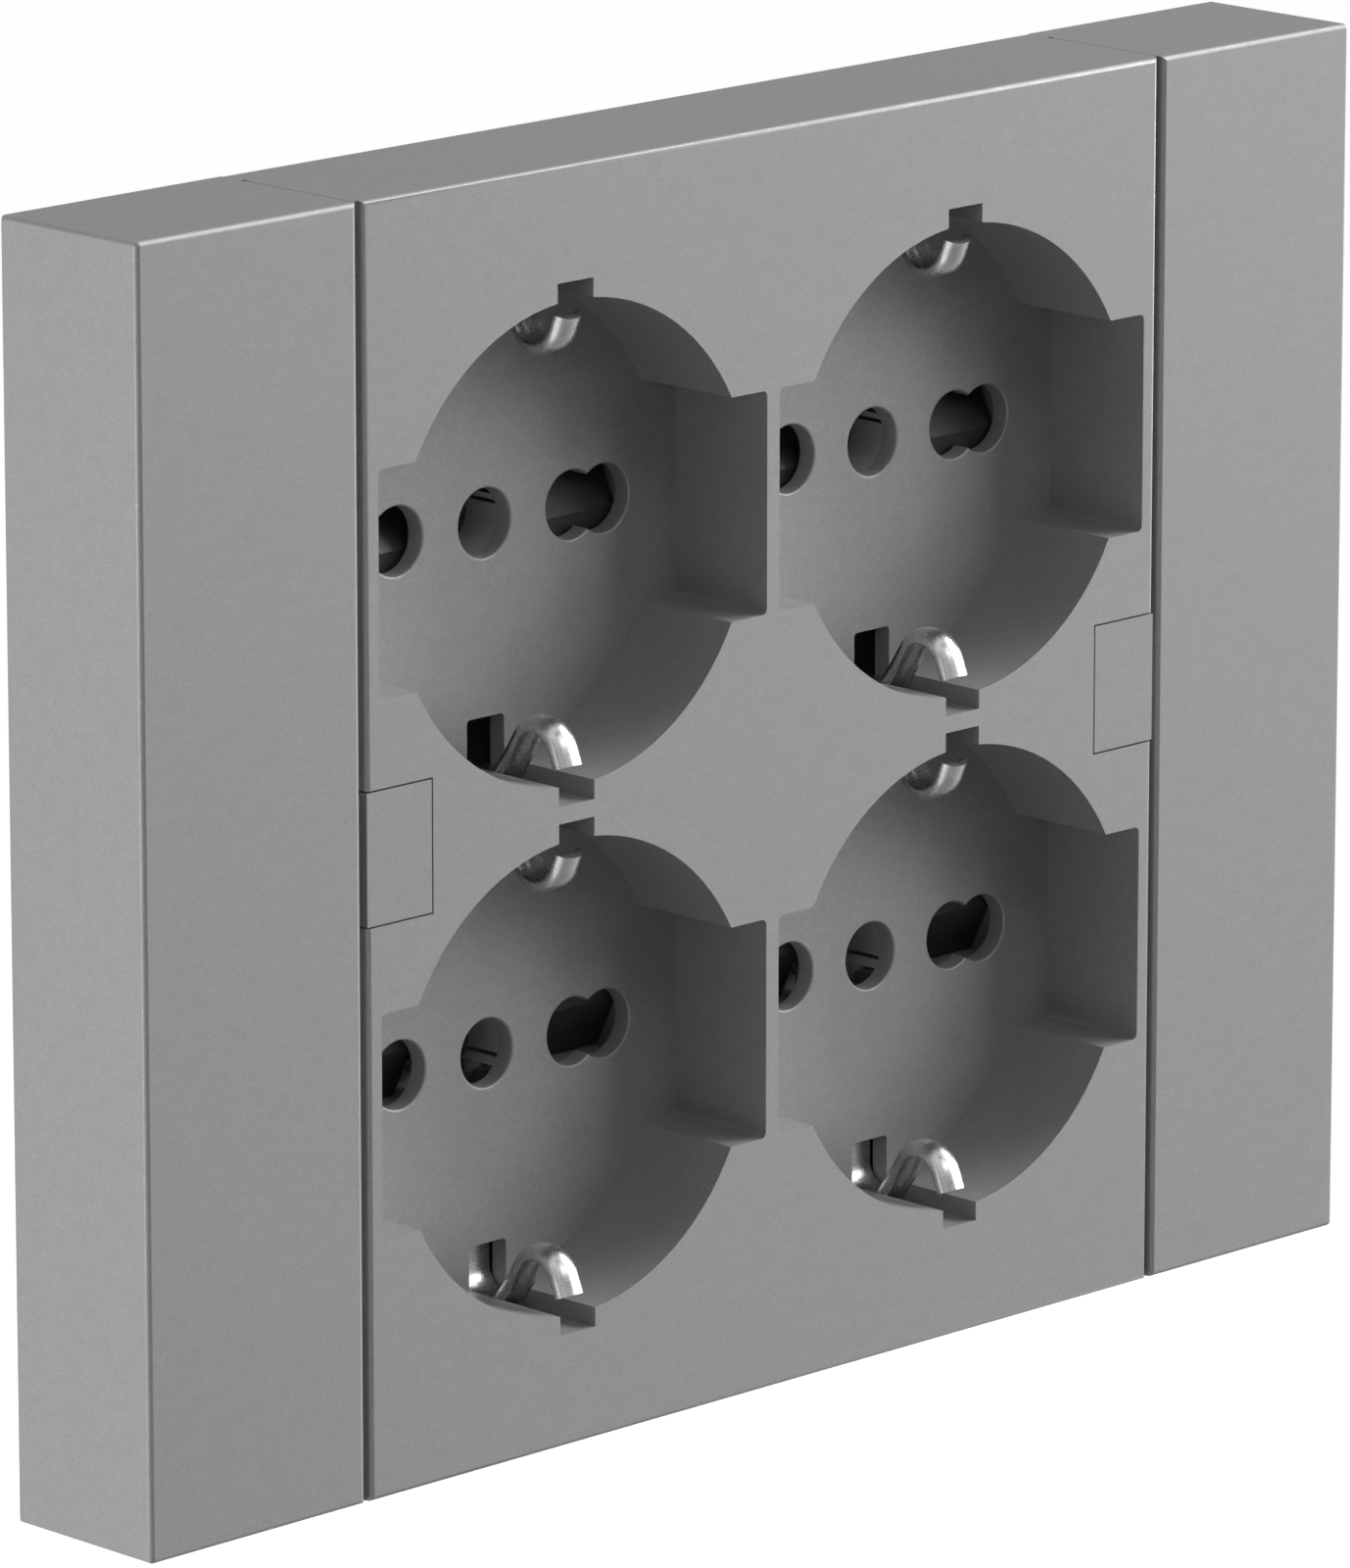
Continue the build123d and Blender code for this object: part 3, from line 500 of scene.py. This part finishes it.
def store_trait(tree, geometry, name, value, kind="FLOAT"):
    node = tree.nodes.new("GeometryNodeStoreNamedAttribute")
    node.data_type = kind
    node.domain = "POINT"
    node.inputs["Name"].default_value = name
    tree.links.new(geometry, node.inputs["Geometry"])
    tree.links.new(value, node.inputs["Value"])
    return node.outputs["Geometry"]


def strip_section(tree, gauge):
    """A flat ring with rounded ends, which knows its place across the strip and its level."""
    ring = tree.nodes.new("GeometryNodeCurvePrimitiveCircle")
    ring.inputs["Resolution"].default_value = 40
    ring.inputs["Radius"].default_value = 1.0
    at = tree.nodes.new("ShaderNodeSeparateXYZ")
    tree.links.new(tree.nodes.new("GeometryNodeInputPosition").outputs[0], at.inputs[0])
    across, upper = at.outputs[0], at.outputs[1]
    edge = add_math(tree, "POWER", add_math(tree, "ABSOLUTE", across), 8.0)
    body = add_math(tree, "MAXIMUM", add_math(tree, "SUBTRACT", 1.0, edge))
    body = add_math(tree, "POWER", body, 0.125)
    body = add_math(tree, "MULTIPLY", body, add_math(tree, "SIGN", upper))
    level = add_math(tree, "MULTIPLY", body, add_math(tree, "MULTIPLY", gauge, 0.5))
    section = store_trait(tree, ring.outputs["Curve"], "across", across)
    return store_trait(tree, section, "level", level)


def strip_tree():
    """Sweeps a thin section along the path; each point's own crown and width shape the gutter."""
    tree, given = growing_tree("gutter_strip", {
        "Gauge": strip_gauge, "Lift": strip_lift, "Eye outer": eye_outer, "Eye hole": eye_hole,
        "Eye gauge": eye_gauge, "Eye place": bar_depth - cover_face,
    }, True)
    link = tree.links.new
    path = tree.nodes.new("GeometryNodeMeshToCurve")
    link(given["Path"], path.inputs["Mesh"])
    tangent = tree.nodes.new("GeometryNodeInputTangent").outputs[0]
    outward = add_vector(tree, "CROSS_PRODUCT", tangent, (1.0, 0.0, 0.0))
    spine = store_trait(tree, path.outputs["Curve"], "outward", outward, "FLOAT_VECTOR")
    position = tree.nodes.new("GeometryNodeInputPosition").outputs[0]
    spine = store_trait(tree, spine, "spine", position, "FLOAT_VECTOR")
    swept = tree.nodes.new("GeometryNodeCurveToMesh")
    link(spine, swept.inputs["Curve"])
    link(strip_section(tree, given["Gauge"]), swept.inputs["Profile Curve"])
    swept.inputs["Fill Caps"].default_value = True

    # The section's middle line is half an ellipse; the gauge is laid off at right angles to it.
    turn = add_math(tree, "MULTIPLY", read_trait(tree, "across"), math.pi / 2)
    sine, cosine = add_math(tree, "SINE", turn), add_math(tree, "COSINE", turn)
    crown, half = read_trait(tree, "crown"), read_trait(tree, "half_width")
    lean_x = add_math(tree, "MULTIPLY", crown, sine)
    lean_y = add_math(tree, "MULTIPLY", half, cosine)
    squares = [add_math(tree, "MULTIPLY", lean, lean) for lean in (lean_x, lean_y)]
    size = add_math(tree, "SQRT", add_math(tree, "ADD", *squares))
    size = add_math(tree, "MAXIMUM", size, 0.01 * mm)
    push = add_math(tree, "DIVIDE", read_trait(tree, "level"), size)
    x = add_math(tree, "MULTIPLY", half, sine)
    x = add_math(tree, "ADD", x, add_math(tree, "MULTIPLY", push, lean_x))
    drop = add_math(tree, "MULTIPLY", crown, add_math(tree, "SUBTRACT", 1.0, cosine))
    y = add_math(tree, "SUBTRACT", add_math(tree, "MULTIPLY", push, lean_y), drop)
    y = add_math(tree, "ADD", y, given["Lift"])
    rise = add_vector(tree, "SCALE", read_trait(tree, "outward", "FLOAT_VECTOR"), y)
    placed = add_vector(tree, "ADD", read_trait(tree, "spine", "FLOAT_VECTOR"), rise)
    placed = add_vector(tree, "ADD", placed, add_xyz(tree, 0, x))
    shaped = tree.nodes.new("GeometryNodeSetPosition")
    link(swept.outputs["Mesh"], shaped.inputs["Geometry"])
    link(placed, shaped.inputs["Position"])

    # The eye is a flat ring.
    outer, hole = given["Eye outer"], given["Eye hole"]
    loop = tree.nodes.new("GeometryNodeCurvePrimitiveCircle")
    loop.inputs["Resolution"].default_value = 48
    reach = add_math(tree, "MULTIPLY", add_math(tree, "ADD", outer, hole), 0.5)
    link(reach, loop.inputs["Radius"])
    plate = tree.nodes.new("GeometryNodeCurvePrimitiveQuadrilateral")
    link(add_math(tree, "SUBTRACT", outer, hole), plate.inputs["Width"])
    link(given["Eye gauge"], plate.inputs["Height"])
    eye = tree.nodes.new("GeometryNodeCurveToMesh")
    link(loop.outputs["Curve"], eye.inputs["Curve"])
    link(plate.outputs["Curve"], eye.inputs["Profile Curve"])
    stood = tree.nodes.new("GeometryNodeTransform")
    stood.inputs["Rotation"].default_value = (math.pi / 2, 0.0, 0.0)
    link(eye.outputs["Mesh"], stood.inputs["Geometry"])
    link(add_xyz(tree, 1, given["Eye place"]), stood.inputs["Translation"])

    join = tree.nodes.new("GeometryNodeJoinGeometry")
    link(shaped.outputs["Geometry"], join.inputs[0])
    link(stood.outputs["Geometry"], join.inputs[0])
    return end_tree(tree, join.outputs[0], given["Finish"])


def grown(name, tree, vertices, edges, settings, traits=None):
    """The plain mesh that a geometry node tree grows from a few points and their traits."""
    seed = bpy.data.meshes.new(name + "_seed")
    seed.from_pydata(vertices, edges, [])
    for trait, values in (traits or {}).items():
        seed.attributes.new(trait, "FLOAT", "POINT").data.foreach_set("value", values)
    holder = bpy.data.objects.new(name + "_seed", seed)
    bpy.context.scene.collection.objects.link(holder)
    modifier = holder.modifiers.new("grow", "NODES")
    modifier.node_group = tree
    for item in tree.interface.items_tree:
        if item.in_out == "INPUT" and item.name in settings:
            modifier[item.identifier] = settings[item.name]
    view = bpy.context.evaluated_depsgraph_get()
    made = bpy.data.meshes.new_from_object(holder.evaluated_get(view))
    holder.modifiers.clear()
    bpy.data.objects.remove(holder)
    made.name = name
    return made


def soften(data, degrees):
    """Smooth faces, apart from the edges that turn by more than the angle."""
    mesh = bmesh.new()
    mesh.from_mesh(data)
    bmesh.ops.recalc_face_normals(mesh, faces=mesh.faces)
    for face in mesh.faces:
        face.smooth = True
    mark_edges(mesh, degrees)
    mesh.to_mesh(data)
    mesh.free()


def stood_at(data, name, n):
    """An object for socket n; the lower sockets are turned half round, as the real ones are."""
    across, height = socket_middle(n)
    turn = socket_places[n][1]
    data = data.copy()
    for vertex in data.vertices:
        x, y, z = vertex.co
        vertex.co = (turn * x + across, y, turn * z + height)
    made = bpy.data.objects.new(f"{name}_{n}", data)
    bpy.context.scene.collection.objects.link(made)
    return made


near_path = rounded_path(near_points, near_bends)
far_path = [Vector((depth, -z)) for depth, z in reversed(rounded_path(far_points, far_bends))]
whole_path = near_path + far_path
places = [(0.0, depth * mm - cover_face, z * mm) for depth, z in whole_path]
joined = [(i, i + 1) for i in range(len(places) - 1) if i != len(near_path) - 1]
traits = {
    name: [float(np.interp(depth, *zip(*shape))) * mm for depth, z in whole_path]
    for name, shape in (("crown", crown_shape), ("half_width", width_shape))
}
strip = grown("earth_strip", strip_tree(), places, joined, {"Finish": nickel}, traits)
for name in ("crown", "half_width", "across", "level", "outward", "spine"):
    if name in strip.attributes:
        strip.attributes.remove(strip.attributes[name])
soften(strip, 40)
for n in socket_places:
    piece = stood_at(strip, "earth_strip", n)
    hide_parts(f"earth_bracket_{n}")
    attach(piece, "root")


# ---------------------------------------------------------------- Shutter springs
# A small coil spring of drawn steel wire holds each shutter up against its stop.
# It is wound from one length of wire with eight turns and cut ends.
coil_radius = 1.25 * mm
wire_radius = 0.18 * mm
coil_turns = 8.0
coil_top = 6.2 * mm
coil_bottom = 14.4 * mm
coil_depth = 14.0 * mm
seat_gap = 0.05 * mm
coil_height = coil_bottom - coil_top - 2 * seat_gap - 2 * wire_radius


def coil_tree():
    """Winds a round wire along a spiral."""
    tree, given = growing_tree("wound_coil", {
        "Radius": coil_radius, "Height": coil_height, "Turns": coil_turns, "Wire": wire_radius,
    }, False)
    link = tree.links.new
    spiral = tree.nodes.new("GeometryNodeCurveSpiral")
    spiral.inputs["Resolution"].default_value = 20
    link(given["Turns"], spiral.inputs["Rotations"])
    link(given["Radius"], spiral.inputs["Start Radius"])
    link(given["Radius"], spiral.inputs["End Radius"])
    link(given["Height"], spiral.inputs["Height"])
    wire = tree.nodes.new("GeometryNodeCurvePrimitiveCircle")
    wire.inputs["Resolution"].default_value = 10
    link(given["Wire"], wire.inputs["Radius"])
    swept = tree.nodes.new("GeometryNodeCurveToMesh")
    link(spiral.outputs["Curve"], swept.inputs["Curve"])
    link(wire.outputs["Curve"], swept.inputs["Profile Curve"])
    swept.inputs["Fill Caps"].default_value = True
    return end_tree(tree, swept.outputs["Mesh"], given["Finish"])


coil = grown("shutter_coil", coil_tree(), [(0, 0, 0)], [], {"Finish": spring_steel})
for vertex in coil.vertices:
    vertex.co.y += coil_depth - cover_face
    vertex.co.z -= coil_bottom - seat_gap - wire_radius
soften(coil, 50)
for n, (side, level) in socket_places.items():
    piece = stood_at(coil, "shutter_coil", n)
    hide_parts(f"shutter_spring_{n}")
    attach(piece, "root")
    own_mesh(piece)


# ---------------------------------------------------------------- Contacts, bars and terminals
# Sprung current contacts, the earth sleeves, the bars that join them and the terminal
# blocks are stamped and drawn brass; the clamping screws are zinc-plated steel.
wires = ("line", "neutral", "earth")
dress([f"{wire}_contact_{n}" for wire in ("line", "neutral") for n in socket_places], brass)
dress([f"earth_sleeve_{n}" for n in socket_places], brass)
dress([f"{wire}_bar" for wire in wires], brass)
dress([f"{wire}_terminal" for wire in wires], brass)
dress([f"{wire}_terminal_screw" for wire in wires], zinc_steel)
dress([f"base_screw_{n}" for n in socket_places], zinc_steel)


# ---------------------------------------------------------------- Floor and light
# A pale floor far below the piece, a bank of soft lights that graze the front from the right,
# soft ones on the left and behind, and dark and grey cards that only the gloss shows.
floor_height = -0.9
floor_level = 0.9
lamp_distance = 2.5
world_light = 0.02
white = (1.0, 1.0, 1.0, 1.0)


def seen_rays(tree):
    """1 for the rays that show the background: camera, glossy and transmission rays."""
    paths = tree.nodes.new("ShaderNodeLightPath").outputs
    seen = add_math(tree, "MAXIMUM", paths["Is Camera Ray"], paths["Is Glossy Ray"])
    return add_math(tree, "MAXIMUM", seen, paths["Is Transmission Ray"])


def add_plane(name, size, grey, roughness=None):
    """A plain plane of the stage; gives the object, its tree and its shader."""
    paint = bpy.data.materials.new(name)
    paint.use_nodes = True
    tree = paint.node_tree
    shader = tree.nodes["Principled BSDF"]
    shader.inputs["Base Color"].default_value = (grey, grey, grey, 1.0)
    shader.inputs["Emission Color"].default_value = white
    if roughness:
        shader.inputs["Roughness"].default_value = roughness
    bpy.ops.mesh.primitive_plane_add(size=size)
    plane = bpy.context.object
    plane.name = name
    plane.data.materials.append(paint)
    return plane, tree, shader


def aim(made, direction, distance):
    """Puts a lamp or a card out along a direction, with its face to the piece."""
    way = Vector(direction).normalized()
    made.location = way * distance
    made.rotation_euler = way.to_track_quat("Z", "Y").to_euler()


floor, tree, shader = add_plane("floor", 12.0, 0.80, 0.9)
level = add_math(tree, "MULTIPLY", seen_rays(tree), floor_level)
tree.links.new(level, shader.inputs["Emission Strength"])
floor.location.z = floor_height

for name, direction, distance, shift, size, level in (
    ("dark_card_front", (0.08, -0.99, -0.04), 3.0, (0, 0, 0), 2.8, 0.0),
    ("dark_card_above", (-0.04, -0.57, 0.84), 3.0, (0, 0, 0), 1.4, 0.0),
    ("dark_card_behind", (0.50, 0.80, 0.30), 3.0, (0, 0, 0), 2.4, 0.0),
    ("grey_card_left", (-0.68, -0.66, 0.28), 3.2, (0, 0, 0), 2.6, 0.30),
    ("grey_card_low", (0.0, 0.0, -1.0), 0.6, (0.45, -0.75, 0.0), 1.8, 0.30),
):
    card, tree, shader = add_plane(name, size, 0.02)
    glossy = tree.nodes.new("ShaderNodeLightPath").outputs["Is Glossy Ray"]
    tree.links.new(add_math(tree, "MULTIPLY", glossy, level), shader.inputs["Emission Strength"])
    card.visible_camera = False
    aim(card, direction, distance)
    card.location += Vector(shift)

for name, turn, rise, size, power in (
    ("softbox_right_front", 45, 25, 1.1, 21.0),
    ("softbox_right", 62, 8, 1.1, 16.0),
    ("softbox_grazing", 80, 7, 1.1, 44.0),
    ("softbox_key", 72, 42, 0.8, 28.5),
    ("softbox_above_front", 0, 45, 1.1, 7.5),
    ("softbox_above_behind", 150, 50, 1.1, 5.8),
    ("softbox_left_front", -45, 25, 1.1, 1.8),
    ("softbox_left", -90, -5, 1.1, 8.0),
    ("softbox_left_behind", -115, -5, 1.1, 23.5),
):
    lamp = bpy.data.lights.new(name, "AREA")
    lamp.shape = "SQUARE"
    lamp.size = size
    lamp.energy = power
    made = bpy.data.objects.new(name, lamp)
    bpy.context.scene.collection.objects.link(made)
    turn, rise = math.radians(turn), math.radians(rise)
    flat = math.cos(rise)
    aim(made, (math.sin(turn) * flat, -math.cos(turn) * flat, math.sin(rise)), lamp_distance)

world = bpy.data.worlds.new("studio")
bpy.context.scene.world = world
world.use_nodes = True
tree = world.node_tree
background = tree.nodes["Background"]
background.inputs["Color"].default_value = white
strength = add_range(tree, seen_rays(tree), 0.0, 1.0, world_light, 1.0)
tree.links.new(strength, background.inputs["Strength"])


# ---------------------------------------------------------------- Camera
# A long lens from the front left and slightly above, as in the photograph.
lens = bpy.data.cameras.new("camera")
lens.sensor_fit = "AUTO"
lens.sensor_width = 36.0
lens.lens = 259.11
lens.clip_start = 0.01
lens.clip_end = 20.0
camera = bpy.data.objects.new("camera", lens)
bpy.context.scene.collection.objects.link(camera)
camera.location = (-0.61765, -0.63007, 0.21213)
azimuth, slope = math.radians(44.618), math.radians(13.773)
flat = math.cos(slope)
look = Vector((math.sin(azimuth) * flat, math.cos(azimuth) * flat, -math.sin(slope)))
camera.rotation_euler = look.to_track_quat("-Z", "Y").to_euler()
bpy.context.scene.camera = camera
bpy.context.scene.view_settings.view_transform = "Standard"
